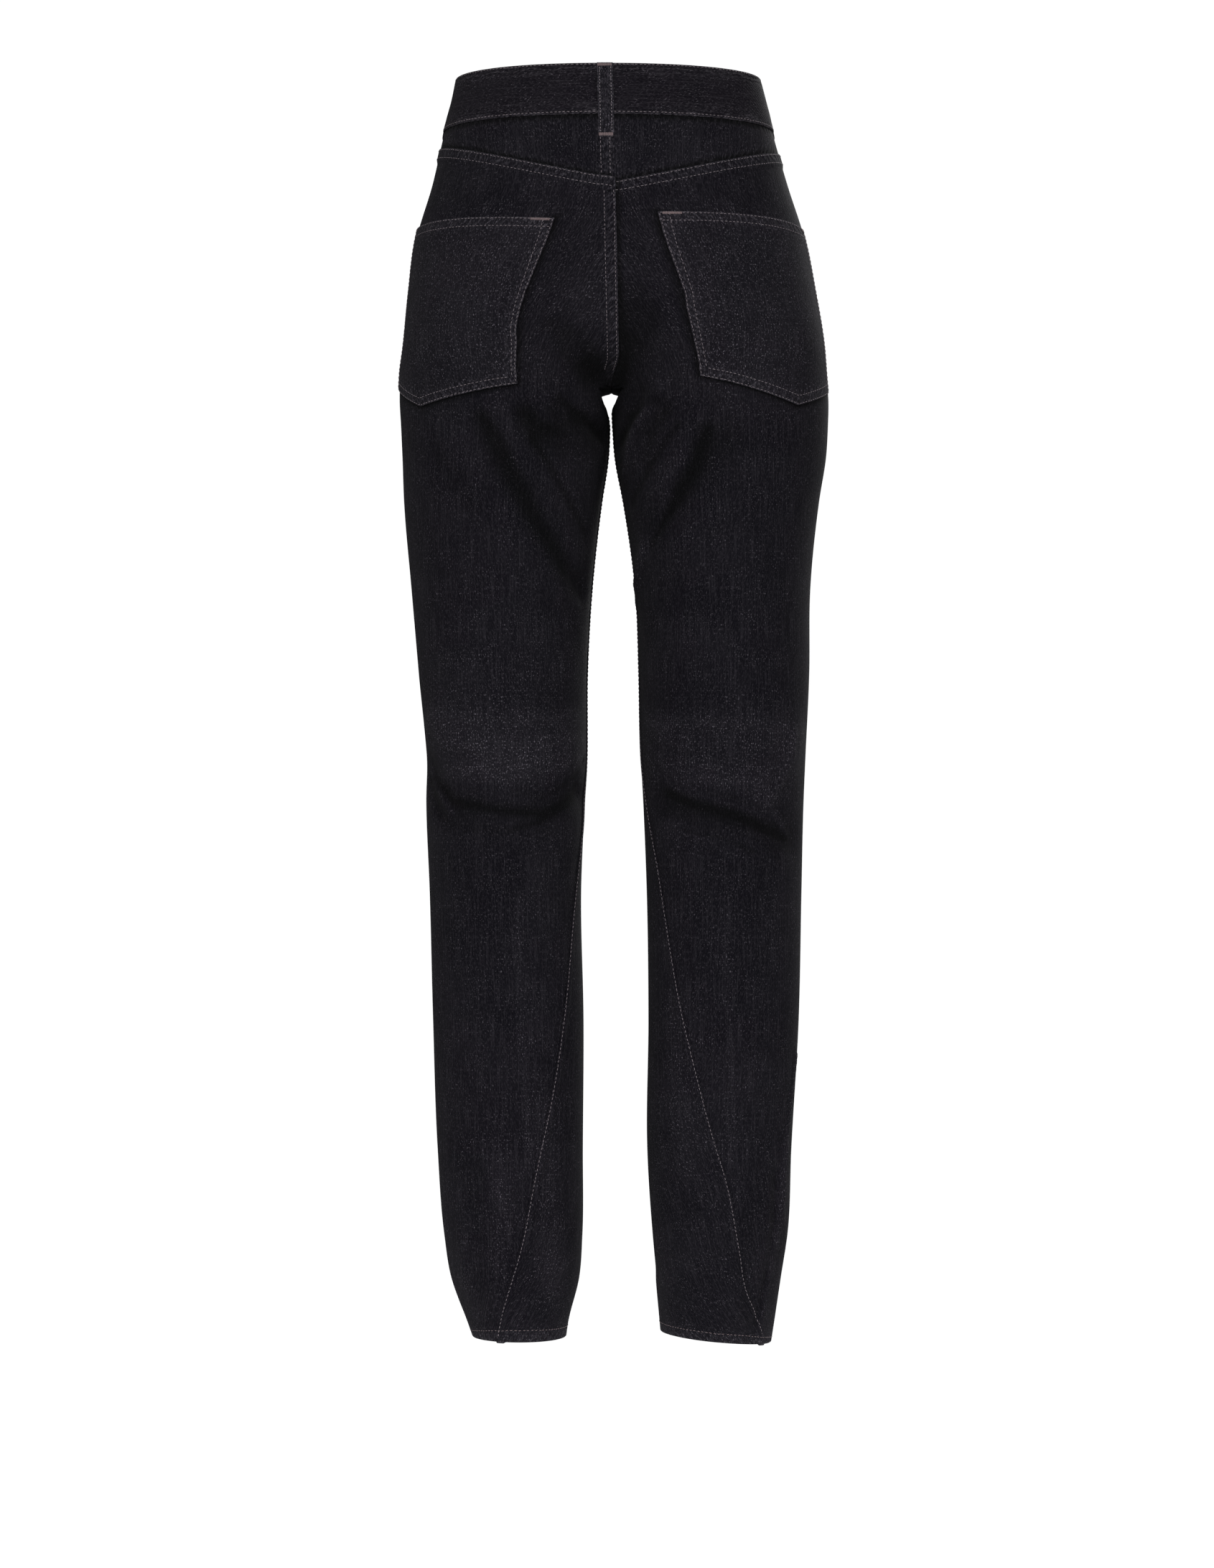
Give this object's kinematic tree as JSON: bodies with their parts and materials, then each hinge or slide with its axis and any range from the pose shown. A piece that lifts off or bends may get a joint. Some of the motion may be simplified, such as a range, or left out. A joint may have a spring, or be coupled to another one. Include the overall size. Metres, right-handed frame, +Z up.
{
  "type": "twisted leg jeans",
  "caption": "Worn hollow jeans with inseams that twist round the lower legs, a high waistband, a pointed yoke, patch back pockets and open hems.",
  "frame": {"origin": "middle of the waist opening, level with the waistband's top edge at the sides", "axes": "+Z up, the front faces -Y, the wearer's left is +X"},
  "size_m": [0.3591, 0.2338, 1.0592],
  "materials": {
    "denim": "near-black cotton denim twill, washed",
    "zip_tape": "woven black zip tape",
    "thread": "taupe and copper topstitching thread",
    "metal_trim": "antique brass"
  },
  "bodies": {
    "root": {"waistband": "denim", "yoke_left": "denim", "yoke_right": "denim", "back_left": "denim", "back_right": "denim", "front_left": "denim", "front_right": "denim", "back_pocket_left": "denim", "back_pocket_right": "denim", "pocket_facing_left": "denim", "pocket_facing_right": "denim", "belt_loop_back": "denim", "belt_loop_side_left": "denim", "belt_loop_side_right": "denim", "belt_loop_front_left": "denim", "belt_loop_front_right": "denim", "fly_facing": "denim", "zip": "zip_tape", "zip_slider": "metal_trim", "button": "metal_trim"}
  },
  "joints": []
}
